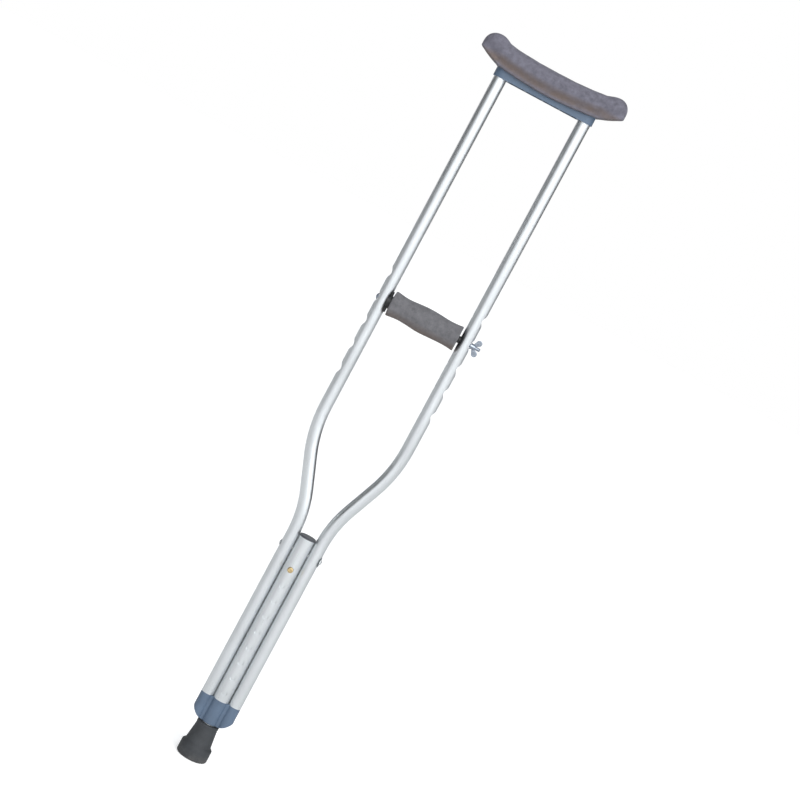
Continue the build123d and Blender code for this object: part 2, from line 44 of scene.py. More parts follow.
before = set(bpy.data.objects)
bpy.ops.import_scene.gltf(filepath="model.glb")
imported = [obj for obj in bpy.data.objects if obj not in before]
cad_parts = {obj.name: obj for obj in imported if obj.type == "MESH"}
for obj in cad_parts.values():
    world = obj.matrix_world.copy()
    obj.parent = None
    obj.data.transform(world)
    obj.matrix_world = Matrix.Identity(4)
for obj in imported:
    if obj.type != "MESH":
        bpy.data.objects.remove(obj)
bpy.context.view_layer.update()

pad_low, pad_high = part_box("underarm_pad")
grip_low, grip_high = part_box("grip_foam")

# Vertices nearer to each other than this are one.
MERGE_DISTANCE = 1e-6

# Foam this near to what it sits on is held, and past the second distance it is free.
HELD_WITHIN = 0.0008
FREE_BEYOND = 0.004

# The foam's skin while it is blown up.
CLOTH_QUALITY = 5
CLOTH_MASS = 0.3
CLOTH_PRESSURE = 4.0
CLOTH_STIFFNESS = 40
CLOTH_BENDING = 4
CLOTH_LAST_FRAME = 14

# The bars that trim the spacers.
CUTTER_LENGTH = 0.1
CUTTER_SIDES = 64

# The rubber tip's turning and the rounding of its ridges.
TURNING_STEPS = 96
FOOT_EDGE_STEPS = 6
RIDGE_ANGLE = math.radians(25)
RIDGE_ROUNDING = 0.0004
RIDGE_SEGMENTS = 2

# The rolled lip ends at the first of these heights and the hollow above it is full at the
# second, both in lip heights above the lower edge.
LIP_ENDS = 0.6
HOLLOW_FULL = 1.6

# Past the lip's ends the painted shade's height grows by this share of the way, so the painted shade runs
# out.
SHADE_RUN_OUT = 0.5

# The soft dents in the grip foam, per metre, and how far they are shifted inwards.
DENTS_ALONG = 34
DENTS_ACROSS = 60
DENT_SHIFT = 0.5

# The grip foam's neck: its place from the foam's end, and how sharply it fades.
NECK_PLACE = 0.022
NECK_FADE = 4
GRIP_END_DEPTH = 0.004

Band = namedtuple("Band", "starts full fades gone")


def length(name, description, default, **limits):
    """A size in metres, as the sidebar shows it."""
    return FloatProperty(
        name=name, description=description, default=default, unit="LENGTH", precision=5, **limits
    )


def colour(name, description, default):
    """A colour of one finish."""
    return FloatVectorProperty(
        name=name, description=description, default=default,
        subtype="COLOR", size=3, min=0.0, max=1.0,
    )


def amount(name, description, default):
    """A plain number: a brightness or a slope."""
    return FloatProperty(name=name, description=description, default=default)


def angle(name, description, degrees):
    """An angle, given in degrees."""
    return FloatProperty(
        name=name, description=description, default=math.radians(degrees), subtype="ANGLE"
    )


class CrutchPadSizes(PropertyGroup):
    """Sizes of the underarm pad's foam."""

    voxel: length("Mesh size", "Spacing of the pad's mesh before it is inflated", 0.002)
    swell: length("Swell", "How far any point of the foam may move", 0.0012)
    lip_height: length("Lip height", "Height of the rolled lip along the lower edge", 0.0042)
    lip_inset: length("Lip inset", "How far the lip lies inside the pad's full width", 0.0024)
    waist_inset: length("Waist inset", "How far the flanks draw in above the lip", 0.0048)
    waist_height: length("Waist height", "Where the flanks reach their full width", 0.0185)
    left_fill: length("Left fill", "Filling of the foam's turn up to its left horn", 0.0030)
    left_place: length("Left fill's place", "Where that filling is, from the middle", 0.080)
    right_fill: length("Right fill", "Filling of the foam's turn up to its right horn", 0.0017)
    right_place: length("Right fill's place", "Where that filling is, from the middle", 0.074)
    shoulder_width: length("Shoulder width", "How far that filling reaches", 0.013)
    top_rise: length("Top rise", "How much the top is raised after that", 0.0012)
    right_stretch: length("Right stretch", "Further reach of the foam at its right end", 0.0016)
    saddle_bottom: length("Saddle bottom", "Height of the saddle's lower face", 1.061)
    lip_middle: length("Lip at the middle", "Lower edge above the saddle's bottom, in the middle", 0.0066)
    lip_end: length("Lip at the ends", "Lower edge above the saddle's bottom, at its ends", 0.0124)
    lip_reach: length("Lip reach", "Half length of the curved lower edge", 0.0775)
    end_slope: amount("End slope", "Slope of the lower edge beyond it", 0.4377)


class CrutchGripSizes(PropertyGroup):
    """Sizes of the hand grip's foam."""

    voxel: length("Mesh size", "Spacing of the grip's mesh before it is inflated", 0.002)
    swell: length("Swell", "How far any point of the foam may move", 0.0006)
    unevenness: length("Unevenness", "Height of the soft dents that hands leave", 0.0005)
    left_stretch: length("Left end", "Further reach of the foam at the bolt head's end", 0.0012)
    left_neck: length("Left neck", "How much deeper the foam is drawn in near that end", 0.0007)


class CrutchTipSizes(PropertyGroup):
    """Sizes of the rubber tip."""

    height: length("Height", "Height of the tip", 0.0555)
    foot_radius: length("Foot radius", "Radius of the foot", 0.02375)
    foot_height: length("Foot height", "Height of the foot's side", 0.019)
    foot_edge: length("Foot edge", "Rounding of the foot's lower edge", 0.003)
    shoulder_radius: length("Shoulder radius", "Radius where the neck starts", 0.0200)
    shoulder_height: length("Shoulder height", "Height where the neck starts", 0.0226)
    waist_radius: length("Waist radius", "Radius half way up the neck", 0.0180)
    waist_height: length("Waist height", "Height of that place", 0.038)
    neck_radius: length("Neck radius", "Radius under the rim", 0.0165)
    rim_radius: length("Rim radius", "Radius of the rim", 0.0170)
    rim_height: length("Rim height", "Height of the rim", 0.004)
    bore_radius: length("Bore radius", "Radius of the socket for the leg", 0.01115)
    bore_floor: length("Bore floor", "Height of the socket's floor", 0.0105)
    tread_first: length("First groove", "Radius of the inmost groove", 0.006)
    tread_pitch: length("Groove pitch", "From groove to groove", 0.0044)
    tread_width: length("Groove width", "Width of a groove", 0.0018)
    tread_depth: length("Groove depth", "Depth of a groove", 0.0015)
    tread_count: IntProperty(
        name="Grooves", description="Ring grooves under the foot", default=3, min=1
    )


class CrutchSpacerSizes(PropertyGroup):
    """Sizes of the spacers at the grip's ends."""

    boss_radius: length("Boss radius", "Radius of the boss at the bolt head's end", 0.0092)
    plate_width: length("Plate width", "Width of the plate along the bow", 0.009)
    plate_height: length("Plate height", "Height of that plate", 0.031)
    bush_radius: length("Bush radius", "Radius of the bush at the wing nut's end", 0.00525)


class CrutchColours(PropertyGroup):
    """Colours of the finishes."""

    tube: colour("Tube", "Anodised tube", (0.74, 0.765, 0.78))
    plastic: colour("Saddle and collar", "Blue grey plastic", (0.092, 0.135, 0.200))
    cap: colour("Cap", "Dark grey plastic of the cap", (0.06, 0.065, 0.075))
    spacer: colour("Spacers", "Black plastic of the spacers", (0.012, 0.012, 0.014))
    foam: colour("Pad foam", "Bluish foam of the pad", (0.142, 0.138, 0.170))
    # Brownish painted shade, mixed into the pad where its face turns down above the lip and into the
    # grip's underside.
    foam_painted_shade: colour("Warm foam", "Brownish tint in the foam's hollows", (0.150, 0.112, 0.092))
    grip: colour("Grip foam", "Grey foam of the grip", (0.138, 0.136, 0.145))
    rubber: colour("Rubber", "Tip rubber", (0.030, 0.033, 0.037))
    zinc: colour("Zinc", "Plated steel", (0.34, 0.38, 0.44))
    brass: colour("Brass", "Snap button", (0.66, 0.50, 0.26))
    steel: colour("Spring steel", "Leaf spring", (0.42, 0.43, 0.45))


class CrutchStudio(PropertyGroup):
    """Camera, lights and floor."""

    lens: FloatProperty(
        name="Lens", description="Focal length in millimetres", default=88.785, min=1.0
    )
    camera_at: FloatVectorProperty(
        name="Camera", description="Camera's place", default=(0.062, -2.775, 0.878),
        size=3, subtype="TRANSLATION",
    )
    yaw: angle("Yaw", "Turn to the left", 0.81)
    pitch: angle("Pitch", "Tilt down", 5.75)
    roll: angle("Roll", "Turn of the picture", 28.25)
    key_power: FloatProperty(
        name="Key light", description="Power of the soft light in front", default=26.0, unit="POWER"
    )
    key_at: FloatVectorProperty(
        name="Key light's place", description="Middle of the soft light", default=(1.1, -2.6, 2.3),
        size=3, subtype="TRANSLATION",
    )
    key_aim: FloatVectorProperty(
        name="Key light's aim", description="What the soft light faces", default=(0.0, 0.0, 0.6),
        size=3, subtype="TRANSLATION",
    )
    key_side: length("Key light's side", "Width and height of the soft light", 1.4)
    front_light: amount("Front", "Brightness of the room in front", 1.75)
    back_light: amount("Back", "Brightness of the room behind", 0.5)
    top_light: amount("Top", "Brightness of the room above", 0.35)
    floor_radius: length("Floor radius", "Radius of the floor", 40.0)
    floor_glow: amount("Floor glow", "Brightness added to the floor", 0.45)
    room_grey: amount("Room", "Brightness of the room in reflections", 0.05)


def new_piece(name, mesh, body, slot_name, material, *replaced):
    """An object from a finished mesh, riding on a body and standing for CAD nodes."""
    piece = bpy.data.objects.new(name, mesh)
    bpy.context.scene.collection.objects.link(piece)
    mesh.materials.clear()
    mesh.materials.append(material)
    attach(piece, body)
    if replaced:
        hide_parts(*replaced)
    return piece


def merged_copy(node):
    """A copy of a CAD node's mesh as one closed skin, with its doubles merged."""
    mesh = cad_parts[node].data.copy()
    mesh.name = node + "_copy"
    bm = bmesh.new()
    bm.from_mesh(mesh)
    bmesh.ops.remove_doubles(bm, verts=bm.verts, dist=MERGE_DISTANCE)
    bm.to_mesh(mesh)
    bm.free()
    mesh.materials.clear()
    return mesh


def evaluated(piece):
    """The mesh of a piece with its modifiers in it."""
    graph = bpy.context.evaluated_depsgraph_get()
    return bpy.data.meshes.new_from_object(piece.evaluated_get(graph), depsgraph=graph)


def working(name, mesh):
    """A passing object that holds modifiers."""
    piece = bpy.data.objects.new(name, mesh)
    bpy.context.scene.collection.objects.link(piece)
    return piece


def drop(piece):
    """Removes a passing object and its mesh."""
    mesh = piece.data
    bpy.data.objects.remove(piece)
    bpy.data.meshes.remove(mesh)


def even_skin(name, node, voxel):
    """The CAD node's skin as even quads: voxels first, then back onto the CAD surface."""
    target = working(name + "_target", merged_copy(node))
    skin = working(name + "_skin", target.data.copy())
    remesh = skin.modifiers.new("Voxels", "REMESH")
    remesh.mode = "VOXEL"
    remesh.voxel_size = voxel
    wrap = skin.modifiers.new("Back", "SHRINKWRAP")
    wrap.wrap_method = "NEAREST_SURFACEPOINT"
    wrap.target = target
    mesh = evaluated(skin)
    drop(skin)
    drop(target)
    return mesh


def free_share(mesh, seat):
    """For each vertex, 0 where it is held by the node it sits on and 1 where it is free."""
    other = merged_copy(seat)
    bm = bmesh.new()
    bm.from_mesh(other)
    tree = BVHTree.FromBMesh(bm)
    shares = []
    for vertex in mesh.vertices:
        distance = tree.find_nearest(vertex.co)[3]
        shares.append(eased(distance, HELD_WITHIN, FREE_BEYOND))
    bm.free()
    bpy.data.meshes.remove(other)
    return shares


def eased(value, low, high):
    """0 below low, 1 above high, a smooth rise between."""
    t = min(max((value - low) / (high - low), 0.0), 1.0)
    return t * t * (3 - 2 * t)


def inflate(name, mesh, shares, swell):
    """Draws the skin in by swell and blows it up with cloth, no point past swell from its start."""
    start = [vertex.co.copy() for vertex in mesh.vertices]
    normals = [vertex.normal.copy() for vertex in mesh.vertices]
    for vertex, normal, share in zip(mesh.vertices, normals, shares):
        vertex.co = vertex.co - normal * swell * share
    balloon = working(name + "_balloon", mesh)
    cloth = balloon.modifiers.new("Cloth", "CLOTH")
    cloth.settings.quality = CLOTH_QUALITY
    cloth.settings.mass = CLOTH_MASS
    cloth.settings.use_pressure = True
    cloth.settings.uniform_pressure_force = CLOTH_PRESSURE
    cloth.settings.effector_weights.gravity = 0.0
    cloth.settings.tension_stiffness = CLOTH_STIFFNESS
    cloth.settings.compression_stiffness = CLOTH_STIFFNESS
    cloth.settings.bending_stiffness = CLOTH_BENDING
    cloth.point_cache.frame_start = 1
    cloth.point_cache.frame_end = CLOTH_LAST_FRAME
    for step in range(1, CLOTH_LAST_FRAME + 1):
        bpy.context.scene.frame_set(step)
    blown = evaluated(balloon)
    bpy.context.scene.frame_set(1)
    for vertex, first, share in zip(blown.vertices, start, shares):
        move = vertex.co - first
        most = swell * share
        if move.length > most:
            move = move.normalized() * most
        vertex.co = first + move
    drop(balloon)
    return blown


def subdivided(name, mesh):
    """The mesh after one smooth subdivision."""
    piece = working(name + "_sub", mesh)
    surface = piece.modifiers.new("Smooth", "SUBSURF")
    surface.levels = surface.render_levels = 1
    fine = evaluated(piece)
    drop(piece)
    for polygon in fine.polygons:
        polygon.use_smooth = True
    return fine


def set_range(node, low, high, to_low, to_high):
    """The four ends of a Map Range node."""
    node.inputs["From Min"].default_value = low
    node.inputs["From Max"].default_value = high
    node.inputs["To Min"].default_value = to_low
    node.inputs["To Max"].default_value = to_high


class Nodes:
    """A new material's node tree, with short ways to add and join nodes."""

    def __init__(self, name):
        self.material = bpy.data.materials.new(name)
        self.material.use_nodes = True
        self.tree = self.material.node_tree
        self.shader = self.tree.nodes["Principled BSDF"]
        self.place = self.tree.nodes.new("ShaderNodeTexCoord").outputs["Object"]

    def set(self, **values):
        """Uniform values straight on the shader's sockets."""
        for key, value in values.items():
            name = key.replace("_", " ").title().replace("Ior", "IOR")
            self.shader.inputs[name].default_value = value

    def link(self, source, target):
        self.tree.links.new(source, target)

    def stretched(self, scale):
        """Object coordinates, scaled per axis."""
        mapping = self.tree.nodes.new("ShaderNodeMapping")
        mapping.inputs["Scale"].default_value = scale
        self.link(self.place, mapping.inputs["Vector"])
        return mapping.outputs["Vector"]

    def grain(self, scale, detail=4.0, roughness=0.6, place=None, distortion=0.0):
        """Noise in object space, from 0 to 1."""
        node = self.tree.nodes.new("ShaderNodeTexNoise")
        node.inputs["Scale"].default_value = scale
        node.inputs["Detail"].default_value = detail
        node.inputs["Roughness"].default_value = roughness
        node.inputs["Distortion"].default_value = distortion
        self.link(place or self.place, node.inputs["Vector"])
        return node.outputs[0]

    def cells(self, scale):
        """Cell pattern: the distance to each cell's middle."""
        node = self.tree.nodes.new("ShaderNodeTexVoronoi")
        node.inputs["Scale"].default_value = scale
        self.link(self.place, node.inputs["Vector"])
        return node.outputs["Distance"]

    def spread(self, value, low, high, to_low, to_high):
        """Maps a range of values to another, clamped."""
        node = self.tree.nodes.new("ShaderNodeMapRange")
        set_range(node, low, high, to_low, to_high)
        self.link(value, node.inputs["Value"])
        return node.outputs["Result"]

    def tint(self, factor, first, second, blend="MIX"):
        """Blend of two colours; either may be a socket."""
        node = self.tree.nodes.new("ShaderNodeMix")
        node.data_type = "RGBA"
        node.blend_type = blend
        for index, value in ((6, first), (7, second)):
            if isinstance(value, bpy.types.NodeSocket):
                self.link(value, node.inputs[index])
            else:
                node.inputs[index].default_value = (*value, 1.0)
        if isinstance(factor, bpy.types.NodeSocket):
            self.link(factor, node.inputs[0])
        else:
            node.inputs[0].default_value = factor
        return node.outputs[2]

    def sum(self, first, second, operation="ADD"):
        """The sum of two values, or another operation on them; either may be a socket."""
        node = self.tree.nodes.new("ShaderNodeMath")
        node.operation = operation
        for index, value in enumerate((first, second)):
            if isinstance(value, bpy.types.NodeSocket):
                self.link(value, node.inputs[index])
            else:
                node.inputs[index].default_value = value
        return node.outputs[0]

    def bump(self, height, strength, distance, under=None):
        """Normal from a height, on top of another normal; distance is the height's full size."""
        node = self.tree.nodes.new("ShaderNodeBump")
        node.inputs["Strength"].default_value = strength
        node.inputs["Distance"].default_value = distance
        self.link(height, node.inputs["Height"])
        if under is not None:
            self.link(under, node.inputs["Normal"])
        return node.outputs["Normal"]

    def colour_from(self, socket):
        self.link(socket, self.shader.inputs["Base Color"])

    def rough_from(self, socket):
        self.link(socket, self.shader.inputs["Roughness"])

    def normal_from(self, socket):
        self.link(socket, self.shader.inputs["Normal"])


def darker(value, share):
    """A colour scaled by a share."""
    return tuple(channel * share for channel in value)


def anodised_tube(name, value):
    """Satin anodised tube: drawn lines along its length, faint clouding and handling marks."""
    finish = Nodes(name)
    finish.set(metallic=1.0)
    along = finish.stretched((420.0, 420.0, 5.0))
    lines = finish.grain(scale=1.0, detail=3.0, roughness=0.5, place=along)
    cloud = finish.grain(scale=14.0, detail=3.0, roughness=0.5)
    upright = finish.stretched((1.0, 1.0, 0.15))
    marks = finish.grain(scale=160.0, detail=5.0, roughness=0.7, place=upright)
    clouded = finish.spread(cloud, 0.35, 0.65, 0.0, 1.0)
    finish.colour_from(finish.tint(clouded, darker(value, 0.93), value))
    worn = finish.spread(marks, 0.55, 0.8, 0.0, 0.14)
    finish.rough_from(finish.sum(finish.spread(lines, 0.3, 0.7, 0.27, 0.37), worn))
    return finish.material


def moulded_plastic(name, value, roughness=0.42):
    """Moulded plastic: fine spark grain, and slight clouding of its colour and shine."""
    finish = Nodes(name)
    fine = finish.grain(scale=900.0, detail=2.0, roughness=0.5)
    cloud = finish.grain(scale=30.0, detail=4.0, roughness=0.6)
    clouded = finish.spread(cloud, 0.3, 0.7, 0.0, 1.0)
    finish.colour_from(finish.tint(clouded, darker(value, 0.86), darker(value, 1.1)))
    finish.rough_from(finish.spread(cloud, 0.3, 0.7, roughness - 0.05, roughness + 0.07))
    finish.normal_from(finish.bump(fine, strength=0.25, distance=0.00008))
    return finish.material


def plated_metal(name, value, roughness=0.24):
    """Plated or bare metal with a soft, slightly uneven shine."""
    finish = Nodes(name)
    finish.set(metallic=1.0)
    cloud = finish.grain(scale=240.0, detail=4.0, roughness=0.6)
    fine = finish.grain(scale=2400.0, detail=2.0, roughness=0.5)
    clouded = finish.spread(cloud, 0.3, 0.7, 0.0, 1.0)
    finish.colour_from(finish.tint(clouded, darker(value, 0.82), value))
    finish.rough_from(finish.spread(cloud, 0.3, 0.7, roughness - 0.06, roughness + 0.1))
    finish.normal_from(finish.bump(fine, strength=0.15, distance=0.00004))
    return finish.material


def tip_rubber(name, value):
    """Moulded rubber, dull, with dust in its pores and scuffs near the floor."""
    finish = Nodes(name)
    pores = finish.grain(scale=1300.0, detail=3.0, roughness=0.6)
    dust = finish.grain(scale=70.0, detail=6.0, roughness=0.7)
    dusty = tuple(channel * 1.5 + 0.012 for channel in value)
    base = finish.tint(finish.spread(dust, 0.4, 0.75, 0.0, 0.7), value, dusty)
    height = finish.tree.nodes.new("ShaderNodeSeparateXYZ")
    finish.link(finish.place, height.inputs[0])
    low = finish.spread(height.outputs["Z"], 0.001, 0.014, 0.55, 0.0)
    scuffs = finish.sum(low, finish.spread(dust, 0.35, 0.6, 0.0, 1.0), "MULTIPLY")
    scuffed = (0.11, 0.105, 0.098)
    finish.colour_from(finish.tint(scuffs, base, scuffed))
    finish.rough_from(finish.spread(dust, 0.3, 0.7, 0.56, 0.74))
    finish.normal_from(finish.bump(pores, strength=0.35, distance=0.00012))
    return finish.material


def foam(name, value, painted_shade_colour, band, attribute=None):
    """Closed-cell foam: tiny open cells, a mottled skin, and a brownish painted shade in a band of
    heights.
    """
    finish = Nodes(name)
    finish.set(sheen_weight=0.06, sheen_roughness=0.6, specular_ior_level=0.25)
    mottle = finish.grain(scale=150.0, detail=6.0, roughness=0.7)
    blotch = finish.grain(scale=34.0, detail=5.0, roughness=0.65, distortion=0.6)
    cells = finish.cells(scale=1250.0)
    mottled = finish.spread(mottle, 0.34, 0.68, 0.0, 1.0)
    skin = finish.tint(mottled, darker(value, 0.72), darker(value, 1.3))
    skin = finish.tint(finish.spread(blotch, 0.4, 0.68, 0.0, 0.55), skin, darker(value, 1.12))
    if attribute:
        node = finish.tree.nodes.new("ShaderNodeAttribute")
        node.attribute_name = attribute
        height = node.outputs["Fac"]
    else:
        node = finish.tree.nodes.new("ShaderNodeSeparateXYZ")
        finish.link(finish.place, node.inputs[0])
        height = node.outputs["Z"]
    # Painted shade: the shade colour is mixed in over the band of heights, blotchy like the skin.
    comes = finish.spread(height, band.starts, band.full, 0.2, 0.8)
    goes = finish.spread(height, band.fades, band.gone, 1.0, 0.0)
    shade = finish.sum(comes, goes, "MULTIPLY")
    shade = finish.sum(shade, finish.spread(blotch, 0.25, 0.6, 0.35, 1.0), "MULTIPLY")
    skin = finish.tint(shade, skin, painted_shade_colour)
    pits = finish.spread(cells, 0.0, 0.35, 0.55, 1.0)
    dark_pits = finish.tint(pits, (0.35, 0.35, 0.35), (1.0, 1.0, 1.0))
    finish.colour_from(finish.tint(1.0, skin, dark_pits, "MULTIPLY"))
    finish.rough_from(finish.spread(mottle, 0.3, 0.7, 0.82, 0.95))
    coarse = finish.bump(blotch, strength=0.35, distance=0.0009)
    middle = finish.bump(mottle, strength=0.45, distance=0.0005, under=coarse)
    finish.normal_from(finish.bump(cells, strength=0.5, distance=0.00035, under=middle))
    return finish.material


def dress(node, material):
    """Gives a CAD node its finish."""
    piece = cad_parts[node]
    for slot in piece.material_slots:
        slot.link = "OBJECT"
        slot.material = material


class CRUTCH_OT_tubes(Operator):
    """Gives the bows, the centre tube and the leg their anodised finish"""

    bl_idname = "crutch.tubes"
    bl_label = "Tubes"

    def execute(self, context):
        tubes = anodised_tube("anodised_aluminium", context.scene.crutch_colours.tube)
        for node in ("left_bow", "right_bow", "center_tube", "leg_tube"):
            dress(node, tubes)
        return {"FINISHED"}


class CRUTCH_OT_plastics(Operator):
    """Gives the saddle, collar, cap and grip core their moulded finish, and trims the spacers"""

    bl_idname = "crutch.plastics"
    bl_label = "Plastic parts"

    def execute(self, context):
        colours = context.scene.crutch_colours
        blue_grey = moulded_plastic("blue_grey_plastic_grained", colours.plastic)
        dark = moulded_plastic("dark_plastic_grained", colours.cap)
        black = moulded_plastic("black_plastic_grained", colours.spacer, roughness=0.36)
        for node in ("saddle", "bottom_collar"):
            dress(node, blue_grey)
        dress("center_tube_cap", dark)
        dress("grip_core", black)
        self.cut_spacers(context.scene.crutch_spacer, black)
        return {"FINISHED"}

    def cut_spacers(self, sizes, material):
        """The spacers, trimmed to a boss with a plate on one bow and a round bush on the other."""
        left_low, left_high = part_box("grip_spacer_left")
        right_low, right_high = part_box("grip_spacer_right")
        left_middle = (left_low + left_high) / 2
        right_middle = (right_low + right_high) / 2
        boss = trimmed("grip_spacer_left", rod("boss", left_middle, sizes.boss_radius))
        bm = bmesh.new()
        bmesh.ops.create_cube(bm, size=1.0)
        bmesh.ops.scale(bm, vec=(CUTTER_LENGTH, sizes.plate_width, sizes.plate_height), verts=bm.verts)
        bmesh.ops.translate(bm, vec=left_middle, verts=bm.verts)
        plate = trimmed("grip_spacer_left", bm)
        left = combined("grip_spacer_left_moulded", boss, plate, "UNION")
        right = trimmed("grip_spacer_right", rod("bush", right_middle, sizes.bush_radius))
        right.name = "grip_spacer_right_moulded"
        for mesh, node in ((left, "grip_spacer_left"), (right, "grip_spacer_right")):
            new_piece(mesh.name, mesh, "frame", "black_plastic", material, node)


def rod(name, middle, radius):
    """A round bar along X, long enough to trim a spacer."""
    bm = bmesh.new()
    bmesh.ops.create_cone(
        bm, cap_ends=True, segments=CUTTER_SIDES, radius1=radius, radius2=radius, depth=CUTTER_LENGTH
    )
    bmesh.ops.rotate(bm, verts=bm.verts, matrix=Matrix.Rotation(math.pi / 2, 3, "Y"))
    bmesh.ops.translate(bm, vec=middle, verts=bm.verts)
    return bm


def combined(name, first, second, operation):
    """Two meshes joined or cut by each other; both are used up."""
    base, other = working(name, first), working(name + "_other", second)
    cut = base.modifiers.new("Cut", "BOOLEAN")
    cut.operation = operation
    cut.solver = "EXACT"
    cut.object = other
    mesh = evaluated(base)
    drop(base)
    drop(other)
    mesh.name = name
    return mesh


def trimmed(node, cutter):
    """What of a CAD node lies inside the cutter."""
    mesh = bpy.data.meshes.new(node + "_cutter")
    cutter.to_mesh(mesh)
    cutter.free()
    return combined(node + "_trimmed", merged_copy(node), mesh, "INTERSECT")


class CRUTCH_OT_hardware(Operator):
    """Gives the rivets, washers, bolt, wing nut, button and spring their metal finishes"""

    bl_idname = "crutch.hardware"
    bl_label = "Metal hardware"

    def execute(self, context):
        colours = context.scene.crutch_colours
        zinc = plated_metal("zinc_plated", colours.zinc)
        rivets = plated_metal("rivet_metal", colours.tube, roughness=0.34)
        brass = plated_metal("button_brass", colours.brass, roughness=0.26)
        steel = plated_metal("spring_steel_blued", colours.steel, roughness=0.3)
        for node in ("grip_bolt", "grip_washer", "wing_nut", "tip_washer"):
            dress(node, zinc)
        for node in ("cross_rivet", "cross_rivet_washer", "saddle_rivets"):
            dress(node, rivets)
        dress("snap_button", brass)
        dress("button_spring", steel)
        return {"FINISHED"}


class CRUTCH_OT_tip(Operator):
    """Turns the rubber tip with its ledge, rim and tread"""

    bl_idname = "crutch.tip"
    bl_label = "Rubber tip"

    def execute(self, context):
        sizes = context.scene.crutch_tip
        bm = bmesh.new()
        corners = [bm.verts.new((radius, 0.0, height)) for radius, height in self.outline(sizes)]
        edges = [bm.edges.new(pair) for pair in zip(corners, corners[1:])]
        bmesh.ops.spin(
            bm, geom=corners + edges, axis=(0, 0, 1), cent=(0, 0, 0),
            angle=2 * math.pi, steps=TURNING_STEPS, use_merge=True,
        )
        bmesh.ops.remove_doubles(bm, verts=bm.verts, dist=MERGE_DISTANCE)
        bmesh.ops.recalc_face_normals(bm, faces=bm.faces)
        ridges = [edge for edge in bm.edges if edge.calc_face_angle(0.0) > RIDGE_ANGLE]
        bmesh.ops.bevel(
            bm, geom=ridges, offset=RIDGE_ROUNDING, segments=RIDGE_SEGMENTS,
            profile=0.5, affect="EDGES", material=-1,
        )
        mesh = bpy.data.meshes.new("rubber_tip")
        bm.to_mesh(mesh)
        bm.free()
        for polygon in mesh.polygons:
            polygon.use_smooth = True
        material = tip_rubber("tip_rubber_pored", context.scene.crutch_colours.rubber)
        new_piece("rubber_tip", mesh, "leg", "tip_rubber", material, "tip")
        return {"FINISHED"}

    def outline(self, sizes):
        """Half outline from the socket's floor over the neck and foot to the middle of the tread."""
        rim_bottom = sizes.height - sizes.rim_height
        yield 0.0, sizes.bore_floor
        yield sizes.bore_radius, sizes.bore_floor
        yield sizes.bore_radius, sizes.height
        yield sizes.rim_radius, sizes.height
        yield sizes.rim_radius, rim_bottom
        yield sizes.neck_radius, rim_bottom - (sizes.rim_radius - sizes.neck_radius)
        yield sizes.waist_radius, sizes.waist_height
        yield sizes.shoulder_radius, sizes.shoulder_height
        yield sizes.foot_radius, sizes.foot_height
        for step in range(FOOT_EDGE_STEPS + 1):
            rounded = math.radians(90 / FOOT_EDGE_STEPS * step)
            radius = sizes.foot_radius - sizes.foot_edge * (1 - math.cos(rounded))
            yield radius, sizes.foot_edge * (1 - math.sin(rounded))
        half_groove = sizes.tread_width / 2
        for ring in reversed(range(sizes.tread_count)):
            middle = sizes.tread_first + ring * sizes.tread_pitch
            yield middle + half_groove, 0.0
            yield middle + half_groove, sizes.tread_depth
            yield middle - half_groove, sizes.tread_depth
            yield middle - half_groove, 0.0
        yield 0.0, 0.0


class CRUTCH_OT_underarm_pad(Operator):
    """Makes the foam pad over the saddle"""

    bl_idname = "crutch.underarm_pad"
    bl_label = "Underarm pad"

    def execute(self, context):
        sizes = context.scene.crutch_pad
        colours = context.scene.crutch_colours
        mesh = even_skin("pad", "underarm_pad", sizes.voxel)
        shares = free_share(mesh, "saddle")
        mesh = inflate("pad", mesh, shares, sizes.swell)
        shape_pad(mesh, shares, sizes)
        mesh = subdivided("pad", mesh)
        mesh.name = "underarm_pad_foam"
        mark_height(mesh, sizes)
        lip = sizes.lip_height
        # Painted shade: a brownish band where the pad's face turns down above the lip, light on the lip
        # itself and fading out at the waist.
        band = Band(starts=0.6 * lip, full=1.5 * lip, fades=2.6 * lip, gone=sizes.waist_height)
        material = foam("pad_foam_skin", colours.foam, colours.foam_painted_shade, band, "above_lip")
        pad = new_piece("underarm_pad_foam", mesh, "frame", "pad_foam", material, "underarm_pad")
        return {"FINISHED"}


def lower_edge(x, sizes):
    """Height of the pad's lower edge at a place along it: an arc, then straight up to the tip."""
    t = min(abs(x) / sizes.lip_reach, 1.0)
    past = max(abs(x) - sizes.lip_reach, 0.0)
    arc = sizes.lip_middle + (sizes.lip_end - sizes.lip_middle) * t * t
    return sizes.saddle_bottom + arc + past * sizes.end_slope


def shape_pad(mesh, shares, sizes):
    """Draws the flanks in above the rolled lip, and fills the turns up to the horns."""
    middle = (pad_low.z + pad_high.z) / 2
    lip_ends = LIP_ENDS * sizes.lip_height
    hollow_full = HOLLOW_FULL * sizes.lip_height
    for vertex, share in zip(mesh.vertices, shares):
        above = vertex.co.z - lower_edge(vertex.co.x, sizes)
        drawn_in = 1 - eased(above, hollow_full, sizes.waist_height)
        past_lip = eased(above, lip_ends, hollow_full)
        inset = drawn_in * (sizes.lip_inset + (sizes.waist_inset - sizes.lip_inset) * past_lip)
        vertex.co.y *= 1 - share * inset / pad_high.y
        if vertex.co.x < 0:
            fill, place = sizes.left_fill, sizes.left_place
        else:
            fill, place = sizes.right_fill, sizes.right_place
        beside = (abs(vertex.co.x) - place) / sizes.shoulder_width
        rise = sizes.top_rise + fill * math.exp(-beside * beside)
        vertex.co.z += rise * eased(vertex.co.z, middle, pad_high.z)
        vertex.co.x += sizes.right_stretch * share * eased(vertex.co.x, pad_low.x, pad_high.x)


